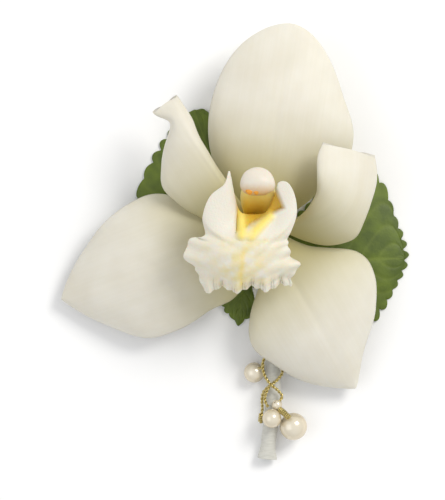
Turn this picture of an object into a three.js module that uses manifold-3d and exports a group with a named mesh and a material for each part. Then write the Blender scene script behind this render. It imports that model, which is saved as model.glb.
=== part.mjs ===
// Orchid corsage: one white cymbidium flower on three scalloped leaves, its stalks bound
// in floral tape, with gold wire and faux pearls. Millimetres, +Z up, lying on z = 0.
// +Y runs from the stem's cut end to the hooded sepal at the top of the flower.
import * as THREE from 'three';
import { mergeVertices } from 'three/addons/utils/BufferGeometryUtils.js';
import Module from 'manifold-3d';

const wasm = await Module();
wasm.setup();

// ---- driving dimensions -------------------------------------------------------------
const DEGREE = Math.PI / 180;
const TEPAL_THICKNESS = 1.1;
const LEAF_THICKNESS = 0.7;
const WIRE_RADIUS = 0.35;
const TAPE_RADIUS = 2.25;
const TAPE_BORE = 1.9;
const STALK_RADIUS = 0.7;
const PETIOLE_RADIUS = 0.32;
const PETIOLE_RING = 1.44;

// A blade runs from base to tip. left and right are its half widths on either side of the
// midrib, evenly spaced from base to tip, and blunt below 1 rounds its ends. hump lifts the
// midrib halfway, fall is how far the left and right margins drop below it, bow bends the
// midrib to the left, tilt raises the left side (at the base and at the tip, in mm per mm),
// and slant cuts the tip at an angle.
const SEPALS = {
  dorsal_sepal: {
    base: [0.5, 3, 12.2], tip: [9, 57.5, 18.7], blunt: 0.5, hump: 6, fall: [5, 4.5],
    left: [3, 13.5, 18.6, 19.6, 18.4, 14.2, 0], right: [3, 15, 21.5, 21.7, 18, 13, 0],
  },
  left_sepal: {
    base: [-3, -1, 12], tip: [-57, -20.6, 4.8], blunt: 0.8, hump: 8.5, fall: [7, 5.5],
    left: [3, 16.3, 18.2, 20.1, 18.7, 11.8, 0], right: [3, 9.5, 17.9, 19.5, 16.8, 10.5, 0],
  },
  right_sepal: {
    base: [2, -3, 12], tip: [27.5, -46.2, 6], blunt: 0.8, hump: 9, fall: [5.5, 7],
    left: [3, 9.5, 20.8, 21.4, 16.5, 7.9, 0], right: [3, 6.5, 15.4, 19.3, 16.6, 11.4, 0],
  },
};
const PETALS = {
  left_petal: {
    base: [-4, 2, 15.4], tip: [-26.8, 34.8, 24.2], blunt: 0.5, hump: 5, fall: [4.5, 4.5], tilt: [0, -0.1],
    left: [6, 10, 13, 14.2, 11, 3.3, 4.4], right: [2, 1.5, 1.6, 2.1, 2.8, 3.8, 4],
  },
  right_petal: {
    base: [6, 0, 15.6], tip: [25.4, 21.6, 25], blunt: 0.5, hump: 6.5, fall: [2.5, 4.5], tilt: [0.3, 0.35],
    bow: -8, slant: 0.55,
    left: [1.5, 2.6, 5.5, 7.4, 8.9, 9.5, 7.2], right: [2, 9.5, 10.2, 9, 8, 8, 6.2],
  },
};
const LEAVES = {
  left_leaf: {
    base: [-4.5, -5.5, 1.7], tip: [-19, 34, 0.7], blunt: 0.6, hump: 1.4, fall: [1.6, 1.2],
    teeth: 30, toothDepth: 1.6,
    left: [3, 14, 22, 26, 21.5, 12.5, 0], right: [3, 10, 12, 12, 11, 8, 0],
  },
  right_leaf: {
    base: [5.5, -10, 1.9], tip: [42, -9, 0.7], blunt: 0.6, hump: 1.4, fall: [1.8, 1.6],
    teeth: 34, toothDepth: 1.8,
    left: [3, 13, 20, 24.5, 26.5, 22, 0], right: [3, 11, 16, 18.5, 19, 13.5, 0],
  },
  lower_leaf: {
    base: [-4.2, -12, 1.1], tip: [-6.2, -28.4, 0.5], blunt: 0.8, hump: 0.3, fall: [0.5, 0.5],
    teeth: 14, toothDepth: 0.8,
    left: [3, 7.5, 8, 7, 5, 2.6, 0], right: [3, 7.5, 8, 7, 5, 2.6, 0],
  },
};

// The lip's middle line and its two margins, evenly spaced from the claw to the fringe. The
// margins rise beside the column as side lobes, come back in, then spread as the front lobe.
const LIP_MIDDLE = [
  [-1.4, 0, 18], [-2.2, 1.4, 23], [-2.7, 3, 27], [-2.9, 2.9, 30],
  [-3, 1.6, 32.4], [-3.2, -0.6, 34.2], [-3.7, -3, 35.5], [-4.2, -5.8, 36.3],
  [-4.7, -8.8, 36.3], [-5, -12, 35], [-5.2, -15.2, 32.2], [-5.3, -17.4, 28.6],
];
const LIP_LEFT = [
  [-2.8, 1, 18.4], [-7.6, 4.2, 27], [-8, 9.8, 33], [-8.8, 15.4, 35.2],
  [-10.2, 11.8, 35.6], [-14.2, 8.4, 35.4], [-16.2, 2.8, 34.4], [-15.6, -2.6, 33],
  [-20.2, -3.6, 31.8], [-20.2, -9.8, 29.4], [-17.2, -13.4, 27.4], [-16, -17.6, 25.6],
];
const LIP_RIGHT = [
  [0.8, 1, 18.4], [6.8, 3.2, 27], [6, 7.2, 31.6], [4.8, 12, 34.4],
  [7.4, 12.2, 35], [9.4, 8.6, 34.8], [9.8, 3.2, 34], [7.8, -2.6, 33],
  [7.2, -5.8, 32], [10.2, -9.8, 29.8], [9.2, -13.2, 27.6], [8.4, -16.6, 25.6],
];
const LIP_THICKNESS = 0.9;
const LIP_RUFFLES = 6;
const LIP_RUFFLE_HEIGHT = 0.6;

// The stem's centre line down to its cut end. The stalks gather just before the tape starts.
const GATHERING = [-0.4, -13.5, 5.7];
const STEM_ROUTE = [[0, -17, 5.4], [2.5, -30, 4], [4, -42, 3.5], [3.5, -54, 3], [2, -67, 2.35]];

// Each pearl lies on the stem or beside it, clear of the tape by the gap that its wire fills. The
// large pearl rests higher, over the stem's right side. Drop and rise are along the stem.
const WIRE_GAP = 0.3;
const STEM_AT_LEFT_PEARL = STEM_ROUTE[2];
const STEM_AT_CENTRE_PEARL = STEM_ROUTE[3];
const CENTRE_PEARL_DROP = 1;
const LARGE_PEARL_DROP = 3.5;
const LARGE_PEARL_LIFT = 2.6;
const BEAD_RISE = 2.8;
const PEARL_DIAMETERS = { left_pearl: 6, centre_pearl: 5.5, large_pearl: 8, small_bead: 3 };

// ---- finishes -----------------------------------------------------------------------
function finish(color, roughness, metalness = 0) {
  return new THREE.MeshStandardMaterial({ color, roughness, metalness });
}
const FINISHES = {
  tepal: () => finish(0xe2ddd0, 0.6),
  lip: () => finish(0xe6e2d4, 0.55),
  gold_flesh: () => finish(0xd9bd5a, 0.5),
  cap: () => finish(0xece8de, 0.45),
  pollen: () => finish(0xeba032, 0.5),
  stalk: () => finish(0x8a9a4e, 0.6),
  leaf: () => finish(0x556926, 0.5),
  tape: () => finish(0xe9e7e0, 0.85),
  pearl: () => finish(0xf2ebdc, 0.2),
  gold_wire: () => finish(0xd9bc6a, 0.25, 1),
  steel_wire: () => finish(0x5d6f5a, 0.5, 1),
};

// ---- shared geometry ----------------------------------------------------------------
const vector = (values) => new THREE.Vector3(...values);

// Any geometry as a solid that can be joined to another.
function solidOf(geometry) {
  const plain = geometry.clone();
  plain.deleteAttribute('normal');
  plain.deleteAttribute('uv');
  const merged = mergeVertices(plain, 1e-4);
  const vertProperties = new Float32Array(merged.attributes.position.array);
  const triVerts = new Uint32Array(merged.index.array);
  return new wasm.Manifold(new wasm.Mesh({ numProp: 3, vertProperties, triVerts }));
}

function geometryOf(solid) {
  const mesh = solid.getMesh();
  const geometry = new THREE.BufferGeometry();
  geometry.setAttribute('position', new THREE.BufferAttribute(new Float32Array(mesh.vertProperties), 3));
  geometry.setIndex(new THREE.BufferAttribute(new Uint32Array(mesh.triVerts), 1));
  geometry.computeVertexNormals();
  return geometry;
}

function joined(...geometries) {
  const solids = geometries.map(solidOf);
  return geometryOf(solids.reduce((whole, next) => whole.add(next)));
}

// A closed skin of even thickness over the surface place(u, v), u 0 to 1 and v -1 to 1.
function sheetGeometry(place, rows, columns, thickness) {
  const step = 1e-3;
  const positions = [];
  const sides = [0.5, -0.5];
  for (const side of sides) {
    for (let i = 0; i <= rows; i++) {
      for (let j = 0; j <= columns; j++) {
        const u = i / rows;
        const v = (2 * j) / columns - 1;
        const along = place(u + step, v).sub(place(u - step, v));
        const across = place(u, v + step).sub(place(u, v - step));
        const normal = along.cross(across).normalize();
        positions.push(...place(u, v).addScaledVector(normal, side * thickness).toArray());
      }
    }
  }
  const layer = (rows + 1) * (columns + 1);
  const top = (i, j) => i * (columns + 1) + j;
  const under = (i, j) => layer + top(i, j);
  const faces = [];
  const quad = (a, b, c, d) => faces.push(a, b, c, a, c, d);
  for (let i = 0; i < rows; i++) {
    for (let j = 0; j < columns; j++) {
      quad(top(i, j), top(i + 1, j), top(i + 1, j + 1), top(i, j + 1));
      quad(under(i, j), under(i, j + 1), under(i + 1, j + 1), under(i + 1, j));
    }
    quad(top(i, 0), under(i, 0), under(i + 1, 0), top(i + 1, 0));
    quad(top(i, columns), top(i + 1, columns), under(i + 1, columns), under(i, columns));
  }
  for (let j = 0; j < columns; j++) {
    quad(top(0, j), top(0, j + 1), under(0, j + 1), under(0, j));
    quad(top(rows, j), under(rows, j), under(rows, j + 1), top(rows, j + 1));
  }
  const geometry = new THREE.BufferGeometry();
  geometry.setAttribute('position', new THREE.Float32BufferAttribute(positions, 3));
  geometry.setIndex(faces);
  geometry.computeVertexNormals();
  return geometry;
}

// A smooth curve through evenly spaced values, read off at u from 0 to 1.
function smoothThrough(values, u) {
  const last = values.length - 1;
  const place = THREE.MathUtils.clamp(u, 0, 1) * last;
  const k = Math.min(Math.floor(place), last - 1);
  const t = place - k;
  const slope = (i) => {
    const before = Math.max(i - 1, 0);
    const after = Math.min(i + 1, last);
    return (values[after] - values[before]) / (after - before);
  };
  return (2 * t ** 3 - 3 * t ** 2 + 1) * values[k] + (t ** 3 - 2 * t ** 2 + t) * slope(k)
    + (3 * t ** 2 - 2 * t ** 3) * values[k + 1] + (t ** 3 - t ** 2) * slope(k + 1);
}

// Half the width of a blade on one side. The widths are eased as powers, so that blunt ends are round.
function halfWidth(widths, blunt, u) {
  const eased = smoothThrough(widths.map((width) => width ** (1 / blunt)), u);
  return Math.max(eased, 1e-4) ** blunt;
}

// Pushes a leaf's margin outwards and inwards into rounded teeth, about the middle of the leaf.
function scallop(blade, point, u, v) {
  const heart = vector(blade.base).add(vector(blade.tip)).multiplyScalar(0.5);
  const out = new THREE.Vector3(point.x - heart.x, point.y - heart.y, 0);
  const angle = Math.atan2(out.y, out.x);
  const lobe = Math.abs(Math.sin((blade.teeth * angle) / 2 + 0.6 * Math.sin(3 * angle))) ** 0.6;
  const depth = blade.toothDepth * (lobe * (1 + 0.35 * Math.sin(5 * angle + 1)) - 0.5);
  const share = Math.abs(v) ** 8 * THREE.MathUtils.smoothstep(u, 0, 0.1);
  return point.addScaledVector(out.normalize(), depth * share);
}

function bladeSurface(blade) {
  const base = vector(blade.base);
  const run = vector(blade.tip).sub(base);
  const length = Math.hypot(run.x, run.y);
  const forward = new THREE.Vector3(run.x / length, run.y / length, 0);
  const left = new THREE.Vector3(-forward.y, forward.x, 0);
  const up = new THREE.Vector3(0, 0, 1);
  const { bow = 0, slant = 0, tilt = [0, 0] } = blade;
  return (u, v) => {
    const bulge = Math.max(Math.sin(Math.PI * u), 0);
    const margin = Math.abs(v);
    const side = v * halfWidth(v >= 0 ? blade.left : blade.right, blade.blunt, u);
    const fall = v >= 0 ? blade.fall[0] : blade.fall[1];
    const drop = fall * bulge ** 0.7 * margin ** 2.2;
    const rise = run.z * u + blade.hump * bulge + THREE.MathUtils.lerp(...tilt, u) * side;
    const point = base.clone()
      .addScaledVector(forward, length * u - slant * side * u ** 2)
      .addScaledVector(left, bow * bulge + side)
      .addScaledVector(up, rise - drop);
    return blade.teeth ? scallop(blade, point, u, v) : point;
  };
}

// A tube along a smooth route through the given points.
function tubeGeometry(points, radius, sides, steps) {
  const route = new THREE.CatmullRomCurve3(points.map(vector), false, 'centripetal');
  const section = new THREE.Shape();
  section.absarc(0, 0, radius, 0, 2 * Math.PI);
  return new THREE.ExtrudeGeometry(section, { extrudePath: route, steps, curveSegments: sides / 2 });
}

// The stem's centre line moved sideways, for a stalk that lies off centre in the bundle.
function routeInBundle(angle, distance, length) {
  const x = distance * Math.cos(angle * DEGREE);
  const z = distance * Math.sin(angle * DEGREE);
  return [GATHERING, ...STEM_ROUTE].slice(0, length).map((point) => [point[0] + x, point[1], point[2] + z]);
}

const corsage = new THREE.Group();
function addPiece(name, geometry, material) {
  const piece = new THREE.Mesh(geometry, material);
  piece.name = name;
  corsage.add(piece);
}

// ---- flower -------------------------------------------------------------------------
// The surface's left side is turned to v = -1, so that its skin faces out.
function facingOut(surface) {
  return (u, v) => surface(u, -v);
}

function addTepals() {
  for (const [name, blade] of Object.entries({ ...SEPALS, ...PETALS })) {
    const skin = sheetGeometry(facingOut(bladeSurface(blade)), 15, 10, TEPAL_THICKNESS);
    addPiece(name, skin, FINISHES.tepal());
  }
}

// Across each row the lip runs out flat from its middle line and then turns up to its margin,
// which makes the throat a trough. On the front lobe it runs out evenly and turns down.
function lipPlace(u, v) {
  const curve = (points) => new THREE.Vector3(...[0, 1, 2].map((axis) => (
    smoothThrough(points.map((point) => point[axis]), u))));
  const middle = curve(LIP_MIDDLE);
  const edge = curve(v >= 0 ? LIP_RIGHT : LIP_LEFT).sub(middle);
  const margin = Math.abs(v);
  const apron = THREE.MathUtils.smoothstep(u, 0.5, 0.66);
  const ruffle = THREE.MathUtils.smoothstep(u, 0.6, 0.72) * margin ** 4;
  return new THREE.Vector3(
    middle.x + edge.x * margin ** (0.5 + 0.5 * apron),
    middle.y + edge.y * margin ** (2.2 - 0.9 * apron),
    middle.z + edge.z * margin ** (1.3 + 0.9 * apron)
      + LIP_RUFFLE_HEIGHT * ruffle * Math.sin(2 * Math.PI * LIP_RUFFLES * u),
  );
}

function addLip() {
  addPiece('lip', sheetGeometry(lipPlace, 32, 16, LIP_THICKNESS), FINISHES.lip());
}

// The column stands behind the lip and arches up towards the anther cap. It is wider than deep.
const COLUMN_ROUTE = [[0, 2.2, 13.8], [-0.5, 4.4, 19.6], [-0.6, 7.4, 25], [-0.7, 9.8, 28.8]];
const COLUMN_WIDTH = 9;
const COLUMN_DEPTH = 4.4;
const COLUMN_FOOT = 0.42;
const CAP_CENTRE = [-0.8, 12.4, 32.6];
const CAP_SIZE = [4.4, 3.2, 2.5];
const POLLINIUM_RADIUS = 0.75;
const POLLINIUM_SPREAD = 1;

// An oval rod along a route, with level ends, that is narrower at its foot by the share foot.
function ovalRod(points, width, depth, foot, sides) {
  const route = new THREE.CatmullRomCurve3(points.map(vector), false, 'centripetal');
  const section = new THREE.Shape();
  section.absellipse(0, 0, width / 2, depth / 2, 0, 2 * Math.PI);
  const upright = { depth: 1, steps: 10, bevelEnabled: false, curveSegments: sides / 2 };
  const rod = new THREE.ExtrudeGeometry(section, upright);
  const positions = rod.attributes.position;
  for (let i = 0; i < positions.count; i++) {
    const centre = route.getPoint(positions.getZ(i));
    const spread = THREE.MathUtils.lerp(foot, 1, positions.getZ(i));
    positions.setXYZ(i, centre.x + spread * positions.getX(i), centre.y + positions.getY(i), centre.z);
  }
  rod.computeVertexNormals();
  return rod;
}

function addColumn() {
  const rod = ovalRod(COLUMN_ROUTE, COLUMN_WIDTH, COLUMN_DEPTH, COLUMN_FOOT, 20);
  addPiece('column', rod, FINISHES.gold_flesh());
  const cap = new THREE.SphereGeometry(1, 16, 10);
  cap.scale(...CAP_SIZE);
  cap.translate(...CAP_CENTRE);
  addPiece('anther_cap', cap, FINISHES.cap());
  const front = CAP_CENTRE[1] - CAP_SIZE[1] - POLLINIUM_RADIUS * 0.8;
  for (const [name, side] of Object.entries({ left_pollinium: -1, right_pollinium: 1 })) {
    const grain = new THREE.SphereGeometry(POLLINIUM_RADIUS, 10, 8);
    grain.translate(CAP_CENTRE[0] + (side - 1) * POLLINIUM_SPREAD, front, CAP_CENTRE[2] + POLLINIUM_RADIUS);
    addPiece(name, grain, FINISHES.pollen());
  }
}

const DISC_RADIUS = 2.6;
const DISC_HEIGHT = 1.17;
const DISC_LEVEL = 9.8;

// The flower's stalk swells into a small disc behind the sepals and bends into the bundle.
function addFlowerStalk() {
  const top = [[0, 0, 10.2], [0, -1.5, 8.6], [-0.2, -7, 6.8]];
  const stalk = tubeGeometry([...top, GATHERING, ...STEM_ROUTE], STALK_RADIUS, 8, 26);
  const disc = new THREE.SphereGeometry(DISC_RADIUS, 14, 8);
  disc.scale(1, 1, DISC_HEIGHT / DISC_RADIUS);
  disc.translate(0, 0, DISC_LEVEL);
  addPiece('flower_stalk', joined(stalk, disc), FINISHES.stalk());
}

// ---- leaves, each with its stalk cut short in the bundle -----------------------------
const PETIOLE_POINTS = 3;
const LEAF_ROWS = 36;

function addLeaves() {
  const angles = { left_leaf: 222, right_leaf: 318, lower_leaf: 270 };
  for (const [name, blade] of Object.entries(LEAVES)) {
    const surface = facingOut(bladeSurface(blade));
    const skin = sheetGeometry(surface, LEAF_ROWS, 6, LEAF_THICKNESS);
    const start = surface(0.06, 0).toArray();
    const route = [start, ...routeInBundle(angles[name], PETIOLE_RING, PETIOLE_POINTS)];
    const petiole = tubeGeometry(route, PETIOLE_RADIUS, 6, 14);
    addPiece(name, joined(skin, petiole), FINISHES.leaf());
  }
}

// ---- stem ---------------------------------------------------------------------------
function addStemTape() {
  const route = new THREE.CatmullRomCurve3(STEM_ROUTE.map(vector), false, 'centripetal');
  const section = new THREE.Shape();
  section.absarc(0, 0, TAPE_RADIUS, 0, 2 * Math.PI);
  const bore = new THREE.Path();
  bore.absarc(0, 0, TAPE_BORE, 0, 2 * Math.PI, true);
  section.holes.push(bore);
  const wrap = new THREE.ExtrudeGeometry(section, { extrudePath: route, steps: 18, curveSegments: 6 });
  addPiece('stem_tape', wrap, FINISHES.tape());
}

// A straight florist's wire lies above the flower's stalk and keeps the stem stiff.
const STEM_WIRE_RADIUS = 0.3;

function addStemWire() {
  const route = routeInBundle(90, PETIOLE_RING, STEM_ROUTE.length + 1).slice(1);
  addPiece('stem_wire', tubeGeometry(route, STEM_WIRE_RADIUS, 6, 18), FINISHES.steel_wire());
}

// ---- pearls and gold wire -----------------------------------------------------------
function addPearls() {
  const radius = (name) => PEARL_DIAMETERS[name] / 2;
  const [leftX, leftY] = STEM_AT_LEFT_PEARL;
  const [stemX, stemY, stemZ] = STEM_AT_CENTRE_PEARL;
  const beside = (name) => TAPE_RADIUS + WIRE_GAP + radius(name);
  const centres = {
    left_pearl: [leftX - beside('left_pearl'), leftY, radius('left_pearl') + WIRE_GAP],
    centre_pearl: [stemX, stemY - CENTRE_PEARL_DROP, stemZ + beside('centre_pearl')],
    large_pearl: [
      stemX + TAPE_RADIUS + radius('large_pearl'),
      stemY - LARGE_PEARL_DROP,
      stemZ + LARGE_PEARL_LIFT,
    ],
    small_bead: [stemX + radius('small_bead'), stemY + BEAD_RISE, stemZ + beside('small_bead')],
  };
  for (const [name, centre] of Object.entries(centres)) {
    const ball = new THREE.SphereGeometry(radius(name), 16, 10);
    ball.translate(...centre);
    addPiece(name, ball, FINISHES.pearl());
  }
}

// A strand wound round the stem between two places along it, through the given angles.
function windingPoints(along, radius, angles, count) {
  const centreLine = new THREE.CatmullRomCurve3(STEM_ROUTE.map(vector), false, 'centripetal');
  const points = [];
  for (let i = 0; i <= count; i++) {
    const centre = centreLine.getPointAt(THREE.MathUtils.lerp(...along, i / count));
    const angle = THREE.MathUtils.lerp(...angles, i / count) * DEGREE;
    points.push([centre.x + radius * Math.cos(angle), centre.y, centre.z + radius * Math.sin(angle)]);
  }
  return points;
}

const WIRE_SLACK = 0.25;

function addGoldWires() {
  const inner = TAPE_RADIUS + WIRE_SLACK + WIRE_RADIUS;
  const outer = inner + 2 * WIRE_RADIUS + WIRE_SLACK;
  const strands = {
    inner_wire: windingPoints([0.4, 0.66], inner, [200, -160], 18),
    outer_wire: windingPoints([0.38, 0.64], outer, [-10, 190], 12),
  };
  for (const [name, points] of Object.entries(strands)) {
    addPiece(name, tubeGeometry(points, WIRE_RADIUS, 6, points.length + 6), FINISHES.gold_wire());
  }
}

addTepals();
addLip();
addColumn();
addFlowerStalk();
addLeaves();
addStemTape();
addStemWire();
addPearls();
addGoldWires();

// The origin is the middle of the corsage's footprint, on the surface that it lies on.
const extent = new THREE.Box3().setFromObject(corsage);
const middle = extent.getCenter(new THREE.Vector3());
corsage.position.set(-middle.x, -middle.y, -extent.min.z);

export default corsage;
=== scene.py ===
import math

import bpy
import numpy as np
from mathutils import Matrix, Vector


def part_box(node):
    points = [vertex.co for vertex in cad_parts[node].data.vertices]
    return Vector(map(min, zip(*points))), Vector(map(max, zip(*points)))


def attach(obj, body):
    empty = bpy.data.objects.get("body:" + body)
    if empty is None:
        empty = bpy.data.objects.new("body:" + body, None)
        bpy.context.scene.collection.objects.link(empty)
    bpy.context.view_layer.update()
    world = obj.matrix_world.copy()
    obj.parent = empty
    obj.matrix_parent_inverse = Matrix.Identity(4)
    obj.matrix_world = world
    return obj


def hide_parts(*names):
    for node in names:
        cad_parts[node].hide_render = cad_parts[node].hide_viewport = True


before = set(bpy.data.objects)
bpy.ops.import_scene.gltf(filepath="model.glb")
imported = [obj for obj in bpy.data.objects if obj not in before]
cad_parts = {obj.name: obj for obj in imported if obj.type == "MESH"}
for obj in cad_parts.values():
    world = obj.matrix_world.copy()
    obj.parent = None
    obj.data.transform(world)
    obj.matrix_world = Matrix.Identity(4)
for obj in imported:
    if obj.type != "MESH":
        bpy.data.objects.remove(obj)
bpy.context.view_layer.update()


# ---- The table and the studio light ---------------------------------------------------
# A matt white sweep, lit by one large soft box at the upper right and a weak fill, with
# the camera straight above. None of it belongs to the corsage.

def linear(hex_colour):
    """An sRGB colour such as "E2DDD0" as linear red, green, blue and alpha."""
    channels = [int(hex_colour[i:i + 2], 16) / 255 for i in (0, 2, 4)]
    return [c / 12.92 if c <= 0.04045 else ((c + 0.055) / 1.055) ** 2.4 for c in channels] + [1.0]


def add_node(tree, kind, inputs=None, links=None, **settings):
    """Adds a node, sets its properties and inputs, and links sockets to its inputs."""
    node = tree.nodes.new(kind)
    for name, value in settings.items():
        setattr(node, name, value)
    for name, value in (inputs or {}).items():
        node.inputs[name].default_value = value
    for name, socket in (links or {}).items():
        tree.links.new(socket, node.inputs[name])
    return node


def new_material(name, **shader):
    """A material with one Principled shader, its uniform values set on the shader's sockets."""
    material = bpy.data.materials.new(name)
    material.use_nodes = True
    bsdf = material.node_tree.nodes["Principled BSDF"]
    for socket, value in shader.items():
        bsdf.inputs[socket.replace("_", " ")].default_value = value
    return material, material.node_tree, bsdf


def add_mesh(name, points, faces, materials, smooth=True):
    """A mesh object in metres, linked to the scene."""
    mesh = bpy.data.meshes.new(name)
    mesh.from_pydata([tuple(p) for p in points], [], faces)
    for material in materials:
        mesh.materials.append(material)
    mesh.polygons.foreach_set("use_smooth", [smooth] * len(mesh.polygons))
    mesh.update()
    piece = bpy.data.objects.new(name, mesh)
    bpy.context.scene.collection.objects.link(piece)
    return piece


SWEEP_HALF = 1.5
sweep_paint, sweep_tree, sweep_bsdf = new_material("matt_white_paper_sweep", Roughness=0.9)
sweep_bsdf.inputs["Base Color"].default_value = linear("FAFAFA")
sweep = add_mesh(
    "table_sweep",
    [(-SWEEP_HALF, -SWEEP_HALF, 0), (SWEEP_HALF, -SWEEP_HALF, 0),
     (SWEEP_HALF, SWEEP_HALF, 0), (-SWEEP_HALF, SWEEP_HALF, 0)],
    [(0, 1, 2, 3)], [sweep_paint], smooth=False)


def add_soft_box(name, place, size, power, colour):
    """A square area light that faces the corsage."""
    lamp = bpy.data.lights.new(name, "AREA")
    lamp.size = size
    lamp.energy = power
    lamp.color = linear(colour)[:3]
    box = bpy.data.objects.new(name, lamp)
    box.location = place
    box.rotation_euler = (-Vector(place)).to_track_quat("-Z", "Y").to_euler()
    bpy.context.scene.collection.objects.link(box)


add_soft_box("key_soft_box", (0.34, 0.30, 0.52), 0.26, 2.35, "FFFDF8")
add_soft_box("fill_soft_box", (-0.50, -0.10, 0.60), 0.6, 0.9, "F4F7FF")

world = bpy.data.worlds.new("studio_white")
world.use_nodes = True
world.node_tree.nodes["Background"].inputs["Color"].default_value = linear("FFFFFF")
world.node_tree.nodes["Background"].inputs["Strength"].default_value = 0.70
bpy.context.scene.world = world
bpy.context.scene.view_settings.view_transform = "Standard"

CAMERA_HEIGHT = 0.80
VIEW_LENGTH = 0.1454
CAMERA_OFFSET = (-0.0034, -0.0018)
camera = bpy.data.objects.new("overhead_camera", bpy.data.cameras.new("overhead_camera"))
camera.location = (*CAMERA_OFFSET, CAMERA_HEIGHT)
camera.data.sensor_width = 36
camera.data.lens = camera.data.sensor_width * CAMERA_HEIGHT / VIEW_LENGTH
bpy.context.scene.collection.objects.link(camera)
bpy.context.scene.camera = camera


# ---- Sepals and petals ----------------------------------------------------------------
# Five waxy white organs, a millimetre thick and thinner at the margin, that grow from the
# flower's back without fixings. Millimetres from the flower's centre, x to the right and y
# towards the hooded sepal.

LARGE_PEARL_CENTRE = np.array([9.75, -57.5, 5.6])
pearl_low, pearl_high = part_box("large_pearl")
FLOWER_CENTRE = np.array((pearl_low + pearl_high) / 2) * 1000 - LARGE_PEARL_CENTRE


def smooth_through(places, values, at):
    """A smooth curve through the values, read off at any places."""
    places = np.asarray(places, float)
    values = np.asarray(values, float)
    slopes = np.gradient(values, places)
    at = np.clip(at, places[0], places[-1])
    k = np.clip(np.searchsorted(places, at, side="right") - 1, 0, len(places) - 2)
    gap = places[k + 1] - places[k]
    t = (at - places[k]) / gap
    return ((2 * t**3 - 3 * t**2 + 1) * values[k] + (t**3 - 2 * t**2 + t) * gap * slopes[k]
            + (3 * t**2 - 2 * t**3) * values[k + 1] + (t**3 - t**2) * gap * slopes[k + 1])


def points_along(route, at):
    """Points on a smooth line through evenly spaced points, read off at places from 0 to 1."""
    places = np.linspace(0, 1, len(route))
    return np.stack([smooth_through(places, np.array(route, float)[:, axis], at) for axis in range(3)], -1)


def smooth_step(low, high, x):
    """0 below low, 1 above high and eased between."""
    t = np.clip((x - low) / (high - low), 0, 1)
    return t * t * (3 - 2 * t)


def grow_skin(name, place, thickness, rows, columns, materials, masks=None):
    """A closed skin over place(u, v), u 0 to 1 and v -1 to 1. Its UVs are lengths over 100 mm."""
    t = np.linspace(0, 1, rows + 1)
    u, v = np.meshgrid((1 - np.cos(np.pi * t)) / 2, np.linspace(-1, 1, columns + 1), indexing="ij")
    step = 1e-4
    low_u, high_u = np.clip(u - step, 0, 1), np.clip(u + step, 0, 1)
    low_v, high_v = np.clip(v - step, -1, 1), np.clip(v + step, -1, 1)
    middle = place(u, v)
    along = place(high_u, v) - place(low_u, v)
    across = place(u, high_v) - place(u, low_v)
    normal = np.cross(across, along)
    normal /= np.linalg.norm(normal, axis=-1, keepdims=True) + 1e-12
    normal *= np.sign(normal[rows // 2, columns // 2, 2])
    half = thickness(u, v)[..., None] / 2
    upper = (middle + normal * half).reshape(-1, 3)
    lower = (middle - normal * half).reshape(-1, 3)
    points = (np.vstack([upper, lower]) + FLOWER_CENTRE) / 1000
    width = columns + 1
    count = (rows + 1) * width
    faces, finishes = [], []
    for i in range(rows):
        for j in range(columns):
            a = i * width + j
            top = (a, a + 1, a + 1 + width, a + width)
            faces.append(top)
            faces.append(tuple(count + c for c in reversed(top)))
            finishes += [0, len(materials) - 1]
    rim = ([j for j in range(columns)] + [i * width + columns for i in range(rows)]
           + [rows * width + j for j in range(columns, 0, -1)] + [i * width for i in range(rows, 0, -1)])
    for a, b in zip(rim, rim[1:] + rim[:1]):
        faces.append((b, a, count + a, count + b))
        finishes.append(0)
    piece = add_mesh(name, points, faces, materials)
    if np.dot(piece.data.polygons[0].normal, normal[0, 0]) < 0:
        piece.data.flip_normals()
    piece.data.polygons.foreach_set("material_index", finishes)
    spine = columns // 2
    gaps = np.linalg.norm(np.diff(middle, axis=1), axis=-1)
    across_mm = np.concatenate([np.zeros((rows + 1, 1)), np.cumsum(gaps, axis=1)], axis=1)
    across_mm -= across_mm[:, spine][:, None]
    gaps = np.linalg.norm(np.diff(middle[:, spine], axis=0), axis=-1)
    along_mm = np.concatenate([[0], np.cumsum(gaps)])[:, None] + 0 * across_mm
    flat_uv = np.tile(np.stack([along_mm.ravel(), across_mm.ravel() + 50], -1) / 100, (2, 1))
    corners = np.empty(len(piece.data.loops), np.int32)
    piece.data.loops.foreach_get("vertex_index", corners)
    layer = piece.data.uv_layers.new(name="UVMap")
    layer.data.foreach_set("uv", flat_uv[corners].ravel().astype(np.float32))
    for mask, rule in (masks or {}).items():
        values = np.tile(rule(u, v).ravel(), 2).astype(np.float32)
        piece.data.attributes.new(mask, "FLOAT", "POINT").data.foreach_set("value", values)
    return piece


ROLL_START = 0.82
RIPPLE_WIDTH = 0.35
RIPPLE_HEIGHT = 0.45
GROOVE_HALF_WIDTH = 1.1
GROOVE_DEPTH = 0.45


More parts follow.
